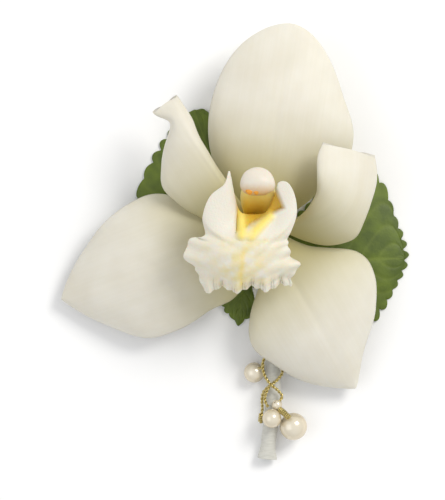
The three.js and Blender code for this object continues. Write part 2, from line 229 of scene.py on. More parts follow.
def blade_surface(blade):
    """The middle surface of a petal, a sepal or a leaf, with its margin rolled down by curl."""
    base, tip = np.array(blade["base"], float), np.array(blade["tip"], float)
    run = tip - base
    forward = np.array([run[0], run[1], 0]) / math.hypot(run[0], run[1])
    left = np.array([-forward[1], forward[0], 0])
    places = np.linspace(0, 1, len(blade["left"]))
    power = 1 / blade["blunt"]

    def place(u, v):
        bulge = np.sin(np.pi * u)
        widths = [np.maximum(smooth_through(places, np.array(blade[side]) ** power, u), 1e-4)
                  ** blade["blunt"] for side in ("left", "right")]
        half = np.where(v >= 0, widths[0], widths[1])
        margin = np.abs(v)
        roll = np.clip((margin - ROLL_START) / (1 - ROLL_START), 0, 1) ** 2 * bulge ** 0.5
        waves = blade["ripple"] * u
        ripple = np.sin(waves + 2.0 * np.sign(v)) + 0.5 * np.sin(2.3 * waves)
        side = half * v - np.sign(v) * 0.5 * blade["curl"] * roll
        ahead = math.hypot(run[0], run[1]) * u - blade.get("slant", 0) * half * v * u ** 2
        side = side + np.sign(v) * RIPPLE_WIDTH * margin ** 6 * ripple * bulge
        fall = np.where(v >= 0, blade["fall"][0], blade["fall"][1])
        steep = blade["tilt"][0] + (blade["tilt"][1] - blade["tilt"][0]) * u
        height = (base[2] + run[2] * u + blade["hump"] * bulge + steep * half * v
                  - fall * bulge ** 0.7 * margin ** 2.2 - blade["curl"] * roll
                  + RIPPLE_HEIGHT * margin ** 3 * ripple * bulge
                  - GROOVE_DEPTH * np.exp(-(half * v / GROOVE_HALF_WIDTH) ** 2) * (1 - u) * bulge)
        sideways = (blade["bow"] * bulge + side)[..., None]
        return (base * [1, 1, 0] + forward * ahead[..., None]
                + left * sideways + np.array([0, 0, 1.0]) * height[..., None])

    return place


# Fresh orchid tissue: a waxy cuticle over water-filled cells. It looks satin rather than
# glossy, lets a little light through, and is greener towards the flower's centre, where its colour
# also carries painted shade of the cupped base. Its veins run from base to tip, about 1.2 mm apart.
VEIN_LENGTH = 45
VEIN_GAP = 1.2


def petal_tissue(name, pale, deep, heart, reach):
    """White tissue that turns to the heart colour, a greener tint with painted shade in it, within reach
    millimetres of its base.
    """
    material, tree, bsdf = new_material(
        name, Roughness=0.5, IOR=1.4, Subsurface_Weight=0.12, Subsurface_Scale=0.002,
        Specular_IOR_Level=0.35)
    bsdf.inputs["Subsurface Radius"].default_value = (1.0, 0.8, 0.5)
    uv = add_node(tree, "ShaderNodeTexCoord")
    parts = add_node(tree, "ShaderNodeSeparateXYZ", links={0: uv.outputs["UV"]})
    millimetres = add_node(tree, "ShaderNodeMapping", {"Scale": (1000, 1000, 1000)},
                           {"Vector": uv.outputs["Object"]})
    cloud = add_node(tree, "ShaderNodeTexNoise", {"Scale": 0.09, "Detail": 3.0},
                     {"Vector": millimetres.outputs[0]})
    tone = add_node(tree, "ShaderNodeMapRange", {1: 0.35, 2: 0.65}, {0: cloud.outputs[0]})
    flesh = add_node(tree, "ShaderNodeMix", {6: linear(pale), 7: linear(deep)},
                     {0: tone.outputs[0]}, data_type="RGBA")
    # Towards the base the colour turns to the heart colour: a greener tint darkened with painted shade of
    # the cupped base.
    near = add_node(tree, "ShaderNodeMapRange", {1: 0.0, 2: reach / 100, 3: 1.0, 4: 0.0},
                    {0: parts.outputs["X"]}, interpolation_type="SMOOTHSTEP")
    base_tint_and_shade = add_node(tree, "ShaderNodeMix", {7: linear(heart)},
                      {0: near.outputs[0], 6: flesh.outputs[2]}, data_type="RGBA")
    stretched = add_node(tree, "ShaderNodeMapping", {"Scale": (100 / VEIN_LENGTH, 100 / VEIN_GAP, 1)},
                         {"Vector": uv.outputs["UV"]})
    vein = add_node(tree, "ShaderNodeTexNoise", {"Scale": 1.0, "Detail": 2.0, "Distortion": 0.3},
                    {"Vector": stretched.outputs[0]})
    faint = add_node(tree, "ShaderNodeMapRange", {1: 0.35, 2: 0.65, 3: 0.0, 4: 0.055},
                     {0: vein.outputs[0]})
    veined = add_node(tree, "ShaderNodeMix", {7: linear(heart)},
                      {0: faint.outputs[0], 6: base_tint_and_shade.outputs[2]}, data_type="RGBA")
    tree.links.new(veined.outputs[2], bsdf.inputs["Base Color"])
    # Surface cells are near 0.05 mm; they are drawn at 0.4 mm, the finest that shows.
    cells = add_node(tree, "ShaderNodeTexNoise", {"Scale": 2.5, "Detail": 2.0},
                     {"Vector": millimetres.outputs[0]})
    grain = add_node(tree, "ShaderNodeBump", {"Strength": 0.10, "Distance": 0.0001},
                     {"Height": cells.outputs[0]})
    relief = add_node(tree, "ShaderNodeBump", {"Strength": 0.16, "Distance": 0.0001},
                      {"Height": vein.outputs[0], "Normal": grain.outputs[0]})
    tree.links.new(relief.outputs[0], bsdf.inputs["Normal"])
    return material


# left and right are half widths on each side of the midrib, at even steps from base to tip.
# hump lifts the midrib halfway and bow bends it to the left. fall is how far each margin drops,
# tilt raises the left side, slant cuts the tip at an angle and ripple is how often it waves.
TEPALS = {
    "dorsal_sepal": {
        "base": (0.5, 3, 12.2), "tip": (9, 57.5, 18.7), "blunt": 0.5, "bow": 0, "hump": 6,
        "left": [3, 13.5, 18.6, 19.6, 18.4, 14.2, 0], "right": [3, 15, 21.5, 21.7, 18, 13, 0],
        "fall": (5, 4.5), "tilt": (0, 0), "curl": 0.5, "ripple": 7,
    },
    "left_sepal": {
        "base": (-3, -1, 12), "tip": (-57, -20.6, 4.8), "blunt": 0.8, "bow": 0, "hump": 8.5,
        "left": [3, 16.3, 18.2, 20.1, 18.7, 11.8, 0], "right": [3, 9.5, 17.9, 19.5, 16.8, 10.5, 0],
        "fall": (7, 5.5), "tilt": (0, 0), "curl": 0.8, "ripple": 9,
    },
    "right_sepal": {
        "base": (2, -3, 12), "tip": (27.5, -46.2, 6), "blunt": 0.8, "bow": 0, "hump": 9,
        "left": [3, 9.5, 20.8, 21.4, 16.5, 7.9, 0], "right": [3, 6.5, 15.4, 19.3, 16.6, 11.4, 0],
        "fall": (5.5, 7), "tilt": (0, 0), "curl": 0.8, "ripple": 8,
    },
    "left_petal": {
        "base": (-4, 2, 15.4), "tip": (-26.8, 34.8, 24.2), "blunt": 0.5, "bow": 0, "hump": 5,
        "left": [6, 10, 13, 14.2, 11, 3.3, 4.4], "right": [2, 1.5, 1.6, 2.1, 2.8, 3.8, 4],
        "fall": (4.5, 4.5), "tilt": (0, -0.1), "curl": 0.8, "ripple": 11,
    },
    "right_petal": {
        "base": (6, 0, 15.6), "tip": (25.4, 21.6, 25), "blunt": 0.5, "bow": -8, "hump": 6.5,
        "slant": 0.55,
        "left": [1.5, 2.6, 5.5, 7.4, 8.9, 9.5, 7.2], "right": [2, 9.5, 10.2, 9, 8, 8, 6.2],
        "fall": (2.5, 4.5), "tilt": (0.3, 0.35), "curl": 0.8, "ripple": 9,
    },
}
PETAL_MIDDLE = 1.0
PETAL_MARGIN = 0.45


def petal_thickness(u, v):
    """Thick along the midrib and thin at the margin."""
    return PETAL_MARGIN + (PETAL_MIDDLE - PETAL_MARGIN) * (1 - np.abs(v) ** 3)


# B5AD76 is the base's greener tint, darkened with painted shade of the cupped base.
tepal_tissue = petal_tissue("waxy_white_petal_tissue", "E1DDD1", "DBD6C8", "B5AD76", 36)
for tepal_name, tepal in TEPALS.items():
    skin = grow_skin(tepal_name + "_skin", blade_surface(tepal), petal_thickness, 90, 72, [tepal_tissue])
    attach(skin, "root")
    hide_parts(tepal_name)


# ---- Lip ------------------------------------------------------------------------------
# The flower's showy third petal, one fleshy piece: two upright side lobes, two yellow
# keels that lead to the throat, and a middle lobe that bends down to a ruffled fringe.

# Its middle line and its two margins, from the claw to the front, evenly spaced.
LIP_MIDDLE = np.array([
    (-1.4, 0, 18), (-2.2, 1.4, 23), (-2.7, 3, 27), (-2.9, 2.9, 30),
    (-3, 1.6, 32.4), (-3.2, -0.6, 34.2), (-3.7, -3, 35.5), (-4.2, -5.8, 36.3),
    (-4.7, -8.8, 36.3), (-5, -12, 35), (-5.2, -15.2, 32.2), (-5.3, -17.4, 28.6)])
LIP_LEFT = np.array([
    (-2.8, 1, 18.4), (-7.6, 4.2, 27), (-8, 9.8, 33), (-8.8, 15.4, 35.2),
    (-10.2, 11.8, 35.6), (-14.2, 8.4, 35.4), (-16.2, 2.8, 34.4), (-15.6, -2.6, 33),
    (-20.2, -3.6, 31.8), (-20.2, -9.8, 29.4), (-17.2, -13.4, 27.4), (-16, -17.6, 25.6)])
LIP_RIGHT = np.array([
    (0.8, 1, 18.4), (6.8, 3.2, 27), (6, 7.2, 31.6), (4.8, 12, 34.4),
    (7.4, 12.2, 35), (9.4, 8.6, 34.8), (9.8, 3.2, 34), (7.8, -2.6, 33),
    (7.2, -5.8, 32), (10.2, -9.8, 29.8), (9.2, -13.2, 27.6), (8.4, -16.6, 25.6)])


def lip_flesh(u, v):
    """The lip's middle surface, without its keels and the hollow of its throat."""
    middle = points_along(LIP_MIDDLE, u)
    edge = np.where((v >= 0)[..., None], points_along(LIP_RIGHT, u), points_along(LIP_LEFT, u))
    margin = np.abs(v)
    apron = smooth_step(0.5, 0.66, u)
    reach = np.stack([margin ** (0.48 + 0.5 * apron), margin ** (2.3 - 1.0 * apron),
                      margin ** (1.3 + 0.9 * apron)], -1)
    point = middle + (edge - middle) * reach
    front = smooth_step(0.84, 1.0, u)
    fringe = smooth_step(0.6, 0.72, u) * margin ** 4 * (1 - 0.7 * front)
    side_wave = np.sin(44 * u + 1.6 * np.sign(v)) + 0.6 * np.sin(83 * u + 2 * np.sign(v))
    crests = np.cos(2 * np.pi * (point[..., 0] + 6.7) / 8.3)
    ripples = np.sin(2 * np.pi * (point[..., 0] + 2) / 2.7)
    frills = np.sin(2 * np.pi * (point[..., 0] + 0.4 * ripples) / 1.3)
    blister = np.sin(9.5 * v + 5 * np.sin(7 * u)) * np.sin(43 * u + 4 * v)
    point[..., 0] += np.sign(v) * 0.75 * fringe * side_wave
    point[..., 1] += front * (-0.8 * crests - 0.3 * ripples - 0.1 * frills)
    point[..., 2] += (0.6 * fringe * side_wave + 0.28 * apron * blister
                      + front * (0.7 * crests + 0.35 * ripples + 0.12 * front * frills))
    return point


# Two keels stand on the lip, from the column's foot to the front of the throat, and the throat
# behind them sinks. They are laid out in plan, because the lip is creased there.
LEFT_KEEL = ((-5.4, -2.4), (-5.4, 4.8))
RIGHT_KEEL = ((-2.8, -2.6), (2.4, 2.8))
KEEL_HALF_WIDTH = 1.3
KEEL_HEIGHT = 1.5
THROAT_DEPTH = 3.2


def throat_mask(u, v):
    """1 in the gold throat, which opens between the side lobes and behind a slanting rim."""
    x, y = np.moveaxis(lip_flesh(u, v)[..., :2], -1, 0)
    behind_rim = smooth_step(-0.5, 0.9, y - 0.52 * x - 1.5)
    inside_lobes = smooth_step(-7.6, -6.6, x) * smooth_step(-0.5, 0.7, 6.7 - 0.45 * (y - 5.2) - x)
    return behind_rim * inside_lobes * (1 - smooth_step(0.5, 0.58, u))


def keel_mask(u, v):
    """1 along the keels' crests and 0 a millimetre or two beside them."""
    point = lip_flesh(u, v)[..., :2]
    ridge = np.zeros(u.shape)
    for side, ends in ((-1, LEFT_KEEL), (1, RIGHT_KEEL)):
        start, end = np.array(ends)
        run = end - start
        t = np.clip((point - start) @ run / (run @ run), 0, 1)
        gap = np.linalg.norm(point - start - t[..., None] * run, axis=-1)
        ridge = np.maximum(ridge, np.exp(-(gap / KEEL_HALF_WIDTH) ** 2) * smooth_step(-0.15, 0, side * v))
    return ridge * smooth_step(0.12, 0.2, u) * (1 - smooth_step(0.56, 0.64, u))


def lip_surface(u, v):
    """The lip's middle surface with its keels raised and its throat sunk."""
    point = lip_flesh(u, v)
    keel = keel_mask(u, v)
    point[..., 2] += KEEL_HEIGHT * keel - THROAT_DEPTH * throat_mask(u, v) * (1 - keel)
    return point


def stripe_mask(u, v):
    """A yellow line down the middle of the front lobe."""
    return smooth_step(0.6, 0.7, u) * (1 - smooth_step(0.92, 1, u)) * np.exp(-((v + 0.03) / 0.05) ** 2)


def blotch_mask(u, v):
    """Where the front lobe is blotched, mostly near its middle."""
    return smooth_step(0.5, 0.64, u) * (1 - 0.4 * smooth_step(0.9, 1, u)) * np.exp(-(v / 0.75) ** 2)


def lip_tissue():
    """Waxy white tissue with pale yellow blotches, butter yellow keels and a gold throat."""
    material, tree, bsdf = new_material(
        "waxy_lip_tissue", Roughness=0.45, IOR=1.4, Subsurface_Weight=0.15, Subsurface_Scale=0.0015,
        Specular_IOR_Level=0.4)
    uv = add_node(tree, "ShaderNodeTexCoord")
    millimetres = add_node(tree, "ShaderNodeMapping", {"Scale": (1000, 1000, 1000)},
                           {"Vector": uv.outputs["Object"]})
    patches = add_node(tree, "ShaderNodeTexNoise", {"Scale": 0.35, "Detail": 2.0},
                       {"Vector": millimetres.outputs[0]})
    patchy = add_node(tree, "ShaderNodeMapRange", {1: 0.3, 2: 0.66}, {0: patches.outputs[0]})
    colour = None
    tints = (("blotch", "E0D08A", 0.75), ("stripe", "E8CC45", 0.45), ("throat", "D9B22A", 0.95),
             ("keel", "EFDB74", 1.0))
    for mask, tint, strength in tints:
        amount = add_node(tree, "ShaderNodeAttribute", attribute_name=mask)
        share = add_node(tree, "ShaderNodeMath", {1: strength}, {0: amount.outputs["Fac"]},
                         operation="MULTIPLY")
        if mask == "blotch":
            share = add_node(tree, "ShaderNodeMath", links={0: share.outputs[0], 1: patchy.outputs[0]},
                             operation="MULTIPLY")
        blend = add_node(tree, "ShaderNodeMix", {6: linear("E0DCCF"), 7: linear(tint)},
                         {0: share.outputs[0]}, data_type="RGBA")
        if colour:
            tree.links.new(colour, blend.inputs[6])
        colour = blend.outputs[2]
    tree.links.new(colour, bsdf.inputs["Base Color"])
    papillae = add_node(tree, "ShaderNodeTexNoise", {"Scale": 1.8, "Detail": 3.0},
                        {"Vector": millimetres.outputs[0]})
    bump = add_node(tree, "ShaderNodeBump", {"Strength": 0.35, "Distance": 0.0003},
                    {"Height": papillae.outputs[0]})
    tree.links.new(bump.outputs[0], bsdf.inputs["Normal"])
    return material


LIP_EDGE = 0.4
LIP_SWELL = 0.6


def lip_thickness(u, v):
    """Fleshy in the middle, and thin at the margins and the fringe."""
    return LIP_EDGE + LIP_SWELL * (1 - np.abs(v) ** 4) * (1 - smooth_step(0.85, 1, u) * 0.7)


lip = grow_skin("lip_skin", lip_surface, lip_thickness, 190, 150, [lip_tissue()],
                {"keel": keel_mask, "stripe": stripe_mask, "throat": throat_mask, "blotch": blotch_mask})
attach(lip, "root")
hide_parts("lip")


# ---- Column, anther cap and pollinia --------------------------------------------------
# The flower's fused organs: a fleshy arched body, golden and hollowed beneath, that ends
# in a loose ivory cap over two waxy orange pollen masses.

def loft(name, route, radii, turn, rings, sides, materials, hollow=0.0):
    """A closed solid of oval rings along a route; hollow presses in the side facing turn."""
    places = np.linspace(0, 1, len(route))
    t = np.linspace(0, 1, rings)
    centre = points_along(route, t)
    wide, deep = (smooth_through(places, np.array(radii)[:, axis], t) for axis in range(2))
    along = np.gradient(centre, axis=0)
    along /= np.linalg.norm(along, axis=1, keepdims=True)
    facing = np.array(turn, float)[None] - along * (along @ np.array(turn, float))[:, None]
    facing /= np.linalg.norm(facing, axis=1, keepdims=True)
    across = np.cross(along, facing)
    angle = np.linspace(0, 2 * np.pi, sides, endpoint=False)
    dent = 1 - hollow * np.exp(-((np.mod(angle + np.pi, 2 * np.pi) - np.pi) / 0.65) ** 2)
    ring = (centre[:, None] + facing[:, None] * (deep[:, None] * np.cos(angle) * dent)[..., None]
            + across[:, None] * (wide[:, None] * np.sin(angle))[..., None])
    points = np.vstack([ring.reshape(-1, 3), centre[:1], centre[-1:]])
    faces = []
    for i in range(rings - 1):
        for j in range(sides):
            k = (j + 1) % sides
            faces.append((i * sides + j, i * sides + k, (i + 1) * sides + k, (i + 1) * sides + j))
    last = (rings - 1) * sides
    for j in range(sides):
        k = (j + 1) % sides
        faces.append((rings * sides, k, j))
        faces.append((rings * sides + 1, last + j, last + k))
    return add_mesh(name, (points + FLOWER_CENTRE) / 1000, faces, materials)


def fleshy_tissue(name, low_colour, high_colour, low_y, high_y, roughness):
    """Firm orchid flesh that changes colour along y, in millimetres from the flower's centre."""
    material, tree, bsdf = new_material(
        name, Roughness=roughness, IOR=1.4, Subsurface_Weight=0.15, Subsurface_Scale=0.0015)
    place = add_node(tree, "ShaderNodeTexCoord")
    parts = add_node(tree, "ShaderNodeSeparateXYZ", links={0: place.outputs["Object"]})
    low, high = ((y + FLOWER_CENTRE[1]) / 1000 for y in (low_y, high_y))
    share = add_node(tree, "ShaderNodeMapRange", {1: low, 2: high}, {0: parts.outputs["Y"]},
                     interpolation_type="SMOOTHSTEP")
    speckle = add_node(tree, "ShaderNodeTexNoise", {"Scale": 900.0, "Detail": 3.0},
                       {"Vector": place.outputs["Object"]})
    wander = add_node(tree, "ShaderNodeMapRange", {3: -0.15, 4: 0.15}, {0: speckle.outputs[0]})
    mixed = add_node(tree, "ShaderNodeMath", links={0: share.outputs[0], 1: wander.outputs[0]},
                     operation="ADD", use_clamp=True)
    colour = add_node(tree, "ShaderNodeMix", {6: linear(low_colour), 7: linear(high_colour)},
                      {0: mixed.outputs[0]}, data_type="RGBA")
    bump = add_node(tree, "ShaderNodeBump", {"Strength": 0.2, "Distance": 0.0002},
                    {"Height": speckle.outputs[0]})
    tree.links.new(colour.outputs[2], bsdf.inputs["Base Color"])
    tree.links.new(bump.outputs[0], bsdf.inputs["Normal"])
    return material


TOWARDS_LIP = (0, -0.8, 0.6)

# Gold flesh that pales towards the cap, with the soft shine of a moist cuticle.
column = loft(
    "column_flesh",
    [(0, 2.2, 13.8), (-0.5, 4.4, 19.6), (-0.6, 7.4, 25), (-0.7, 9.6, 29), (-0.8, 11.4, 31.4)],
    [(2.6, 1.8), (4.2, 2.5), (5, 2.9), (4.9, 2.4), (4, 1.6)], TOWARDS_LIP, 48, 56,
    [fleshy_tissue("golden_column_flesh", "F2CC3C", "EBDD92", 3, 11, 0.4)], hollow=0.5)
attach(column, "root")
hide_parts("column")

# Dry ivory flesh, with a painted peach glow at the lip's side where the orange pollen's light would shine
# through the cap.
cap = loft(
    "anther_cap_flesh",
    [(-1, 9, 33), (-1, 10.4, 33.8), (-0.8, 12.6, 34), (-0.4, 14.7, 32.8), (-0.2, 15.8, 31.4)],
    [(2.6, 0.8), (4.6, 2), (4.8, 2.7), (3.6, 2.2), (1, 0.6)], (0, 0, 1), 44, 56,
    [fleshy_tissue("ivory_anther_cap", "D0AA74", "DDD6C8", 8.6, 12.6, 0.4)])
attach(cap, "root")
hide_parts("anther_cap")


def speckled(name, one, other, scale, detail=2.0, **shader):
    """A material that wanders between two colours; scale is the speckles per metre."""
    material, tree, bsdf = new_material(name, **shader)
    place = add_node(tree, "ShaderNodeTexCoord")
    speckle = add_node(tree, "ShaderNodeTexNoise", {"Scale": scale, "Detail": detail},
                       {"Vector": place.outputs["Object"]})
    colour = add_node(tree, "ShaderNodeMix", {6: linear(one), 7: linear(other)},
                      {0: speckle.outputs[0]}, data_type="RGBA")
    tree.links.new(colour.outputs[2], bsdf.inputs["Base Color"])
    return material, tree, bsdf, colour


# Pollen grains stuck together by wax, which look bright orange, gritty and a little moist.
pollen_wax = speckled(
    "orange_pollen_wax", "EFA63A", "E08A22", 2500.0, Roughness=0.35, Subsurface_Weight=0.1)[0]
for side_name, x in (("left", -3.2), ("right", -1.3)):
    mass = loft(
        side_name + "_pollinium_wax", [(x, 10.8, 34.2), (x, 9.9, 35), (x + 0.1, 8.9, 34.8)],
        [(0.3, 0.2), (1.15, 0.7), (0.3, 0.25)], (0, 0, 1), 20, 24, [pollen_wax])
    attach(mass, "root")
    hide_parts(side_name + "_pollinium")


# ---- Leaves ---------------------------------------------------------------------------
# Three round evergreen leaves behind the flower, leathery and satin green above, paler
# below, with scalloped margins. Each one's stalk goes into the taped bundle.

LEAVES = {
    "left_leaf": {
        "base": (-4.5, -5.5, 1.7), "tip": (-19, 34, 0.7), "blunt": 0.6, "bow": 0, "hump": 1.4,
        "left": [3, 14, 22, 26, 21.5, 12.5, 0], "right": [3, 10, 12, 12, 11, 8, 0],
        "fall": (1.6, 1.2), "tilt": (0, 0), "curl": 0, "ripple": 6, "teeth": 30, "bite": 1.6,
    },
    "right_leaf": {
        "base": (5.5, -10, 1.9), "tip": (42, -9, 0.7), "blunt": 0.6, "bow": 0, "hump": 1.4,
        "left": [3, 13, 20, 24.5, 26.5, 22, 0], "right": [3, 11, 16, 18.5, 19, 13.5, 0],
        "fall": (1.8, 1.6), "tilt": (0, 0), "curl": 0, "ripple": 7, "teeth": 34, "bite": 1.8,
    },
    "lower_leaf": {
        "base": (-4.2, -12, 1.1), "tip": (-6.2, -28.4, 0.5), "blunt": 0.8, "bow": 0, "hump": 0.3,
        "left": [3, 7.5, 8, 7, 5, 2.6, 0], "right": [3, 7.5, 8, 7, 5, 2.6, 0],
        "fall": (0.5, 0.5), "tilt": (0, 0), "curl": 0, "ripple": 5, "teeth": 14, "bite": 0.8,
    },
}


def side_veins(u, v):
    """1 along the seven pairs of veins that fan out from the midrib, and less between them."""
    return np.abs(np.sin(np.pi * (7 * u - 3.2 * np.abs(v))))


# No leaf's middle surface comes lower than this above the table.
LEAF_REST = 0.36


def leaf_surface(leaf):
    """A leaf with scalloped margins that lies flat where it meets the table."""
    plain = blade_surface(leaf)
    heart = (np.array(leaf["base"], float) + np.array(leaf["tip"], float)) / 2

    def place(u, v):
        point = plain(u, v)
        margin = np.abs(v)
        out = point[..., :2] - heart[:2]
        angle = np.arctan2(out[..., 1], out[..., 0])
        lobe = np.abs(np.sin(leaf["teeth"] * angle / 2 + 0.6 * np.sin(3 * angle))) ** 0.6
        bite = leaf["bite"] * (lobe * (1 + 0.35 * np.sin(5 * angle + 1)) - 0.5)
        bite = bite * margin ** 8 * smooth_step(0, 0.1, u)
        point[..., :2] += out / (np.linalg.norm(out, axis=-1, keepdims=True) + 1e-6) * bite[..., None]
        fan = side_veins(u, v) ** 10 * smooth_step(0.04, 0.2, margin)
        buckle = 0.1 * margin * np.sin(9 * u + 4 * v)
        point[..., 2] += -0.2 * np.exp(-(v / 0.035) ** 2) * (1 - u) - 0.1 * fan + buckle
        point[..., 2] = np.maximum(point[..., 2], LEAF_REST - FLOWER_CENTRE[2])
        return point

    return place


def vein_mask(u, v):
    """1 on the midrib, and fainter on the veins beside it."""
    return np.clip(np.exp(-(v / 0.02) ** 2) + 0.6 * side_veins(u, v) ** 24, 0, 1)


# Leaf cuticle: a smooth wax that reflects softly. Veins are lighter than the blade.
def leaf_blade(name, dark, light, vein, roughness):
    material, tree, bsdf = new_material(name, Roughness=roughness, IOR=1.45)
    place = add_node(tree, "ShaderNodeTexCoord")
    cloud = add_node(tree, "ShaderNodeTexNoise", {"Scale": 160.0, "Detail": 5.0},
                     {"Vector": place.outputs["Object"]})
    tone = add_node(tree, "ShaderNodeMapRange", {1: 0.35, 2: 0.65}, {0: cloud.outputs[0]})
    green = add_node(tree, "ShaderNodeMix", {6: linear(dark), 7: linear(light)},
                     {0: tone.outputs[0]}, data_type="RGBA")
    veins = add_node(tree, "ShaderNodeAttribute", attribute_name="veins")
    faint = add_node(tree, "ShaderNodeMath", {1: 0.22}, {0: veins.outputs["Fac"]}, operation="MULTIPLY")
    colour = add_node(tree, "ShaderNodeMix", {7: linear(vein)},
                      {0: faint.outputs[0], 6: green.outputs[2]}, data_type="RGBA")
    pores = add_node(tree, "ShaderNodeTexNoise", {"Scale": 1500.0, "Detail": 2.0},
                     {"Vector": place.outputs["Object"]})
    bump = add_node(tree, "ShaderNodeBump", {"Strength": 0.2, "Distance": 0.0002},
                    {"Height": pores.outputs[0]})
    tree.links.new(colour.outputs[2], bsdf.inputs["Base Color"])
    tree.links.new(bump.outputs[0], bsdf.inputs["Normal"])
    return material


leaf_faces = [leaf_blade("leaf_upper_cuticle", "4B5C18", "64761F", "97A544", 0.5),
              leaf_blade("leaf_lower_cuticle", "6E8242", "7F9350", "A3B36E", 0.6)]
for leaf_name, leaf in LEAVES.items():
    blade = grow_skin(leaf_name + "_blade", leaf_surface(leaf), lambda u, v: 0.55 - 0.15 * np.abs(v),
                      180, 60, leaf_faces, {"veins": vein_mask})
    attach(blade, "root")
    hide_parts(leaf_name)


# ---- Stalks ---------------------------------------------------------------------------
# The flower's own stalk bends from its back into the bundle, and the leaf stalks join it.
# All are round and juicy green, cut to length and hidden by the tape.

GATHERING = (-0.4, -13.5, 5.7)
STEM_ROUTE = [(0, -17, 5.4), (2.5, -30, 4), (4, -42, 3.5), (3.5, -54, 3), (2, -67, 2.35)]


def round_rod(name, route, radius, rings, sides, materials):
    """A round rod of even radius along a route."""
    even = [(radius, radius)] * len(route)
    return loft(name, route, even, (0.3, 0, 1), rings, sides, materials)


# Juicy green skin, paler and yellower towards the flower.
stalk_skin = fleshy_tissue("green_stalk_skin", "7E8F45", "A3AB62", -20, 0, 0.5)
STALK_RADIUS = 0.7
LEAF_STALK_RADIUS = 0.36
stalk_route = [(0, 0, 11), (0, -1.5, 8.6), (-0.2, -7, 6.8), GATHERING, *STEM_ROUTE]
stalk = round_rod("flower_stalk_rod", stalk_route, STALK_RADIUS, 120, 20, [stalk_skin])
receptacle = loft("flower_receptacle", [(0, 0, 8.6), (0, 0, 9.3), (0, 0, 10.2), (0, 0, 11.6)],
                  [(0.9, 0.9), (2.2, 2.2), (2.7, 2.7), (2.2, 2.2)], (0, 1, 0), 24, 32, [stalk_skin])
for piece in (stalk, receptacle):
    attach(piece, "root")
    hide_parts("flower_stalk")

# Each leaf stalk's place in the bundle, in degrees round it, and where it leaves its leaf.
leaf_stalk_ends = {"left_leaf": (222, (-5.5, -4, 2)), "right_leaf": (318, (8, -9.6, 2)),
                   "lower_leaf": (270, (-4.3, -13, 1.3))}
BUNDLE_RING = 1.44
for leaf_name, (angle, start) in leaf_stalk_ends.items():
    x = BUNDLE_RING * math.cos(math.radians(angle))
    z = BUNDLE_RING * math.sin(math.radians(angle))
    inside = [(p[0] + x, p[1], p[2] + z) for p in (GATHERING, *STEM_ROUTE[:2])]
    leaf_stalk = round_rod(leaf_name + "_stalk", [start, *inside], LEAF_STALK_RADIUS, 50, 14, [stalk_skin])
    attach(leaf_stalk, "root")


# ---- Stem tape and wire ---------------------------------------------------------------
# Waxed crepe floral tape, stretched and wound in a spiral round the stalks and a green
# lacquered wire. Each turn laps the one before, and the cut end stays open.

TAPE_RADIUS = 2.25
TAPE_BORE = 1.9
TAPE_PITCH = 5.5
TAPE_LAP = 0.12
CREPE_HEIGHT = 0.045


def wind_tape(rings, sides):
    """The tape's outer and inner walls as points and faces, with every lap of the spiral."""
    t = np.linspace(0, 1, rings)
    centre = points_along(STEM_ROUTE, t)
    along = np.gradient(centre, axis=0)
    along /= np.linalg.norm(along, axis=1, keepdims=True)
    up = np.array([0, 0, 1.0])[None] - along * along[:, 2:3]
    up /= np.linalg.norm(up, axis=1, keepdims=True)
    across = np.cross(along, up)
    length = np.concatenate([[0], np.cumsum(np.linalg.norm(np.diff(centre, axis=0), axis=1))])[:, None]
    angle = np.linspace(0, 2 * np.pi, sides, endpoint=False)[None]
    turn = (length / TAPE_PITCH - angle / (2 * np.pi)) % 1
    lap = TAPE_LAP * (turn - 0.5) - TAPE_LAP * 0.6 * np.exp(-((turn - 1) / 0.04) ** 2)
    crepe = CREPE_HEIGHT * (np.sin(15 * angle + 6 * turn + 0.6 * length)
                            * np.sin(9 * length + 4 * np.sin(3 * angle)))
    outer = TAPE_RADIUS - 0.1 + lap + crepe
    flare = 1 + 0.3 * smooth_step(0.93, 1, t)[:, None] * (1 + 0.4 * np.sin(3 * angle))
    rings_out = (centre[:, None] + across[:, None] * (outer * flare * np.sin(angle))[..., None]
                 + up[:, None] * (outer * np.cos(angle))[..., None])
    rings_in = (centre[:, None] + across[:, None] * (TAPE_BORE * np.sin(angle))[..., None]
                + up[:, None] * (TAPE_BORE * np.cos(angle))[..., None])
    points = np.vstack([rings_out.reshape(-1, 3), rings_in.reshape(-1, 3)])
    inner, last, faces = rings * sides, (rings - 1) * sides, []
    for j in range(sides):
        k = (j + 1) % sides
        for i in range(rings - 1):
            a, b = i * sides + j, i * sides + k
            faces.append((a, a + sides, b + sides, b))
            faces.append((inner + a, inner + b, inner + b + sides, inner + a + sides))
        faces.append((j, k, inner + k, inner + j))
        faces.append((last + k, last + j, inner + last + j, inner + last + k))
    return points, faces


# Waxed crepe paper: off-white and dull, with fine creases across each turn that catch the light, and
# painted shade in their hollows and painted light on their crests.
crepe_paper, crepe_tree, crepe_bsdf = new_material(
    "waxed_white_crepe_tape", Roughness=0.75, Sheen_Weight=0.15)
crepe_place = add_node(crepe_tree, "ShaderNodeTexCoord")
crepe_folds = add_node(crepe_tree, "ShaderNodeMapping", {"Scale": (500, 2600, 500)},
                       {"Vector": crepe_place.outputs["Object"]})
crepe_lines = add_node(crepe_tree, "ShaderNodeTexNoise", {"Scale": 1.0, "Detail": 3.0},
                       {"Vector": crepe_folds.outputs[0]})
# Painted shade and light: the colour follows the creases' heights, darker in the hollows and lighter on
# the crests.
crepe_crease_shading = add_node(crepe_tree, "ShaderNodeMix", {6: linear("BDBCB2"), 7: linear("DAD9D1")},
                        {0: crepe_lines.outputs[0]}, data_type="RGBA")
crepe_bump = add_node(crepe_tree, "ShaderNodeBump", {"Strength": 0.6, "Distance": 0.0003},
                      {"Height": crepe_lines.outputs[0]})
crepe_tree.links.new(crepe_crease_shading.outputs[2], crepe_bsdf.inputs["Base Color"])
crepe_tree.links.new(crepe_bump.outputs[0], crepe_bsdf.inputs["Normal"])

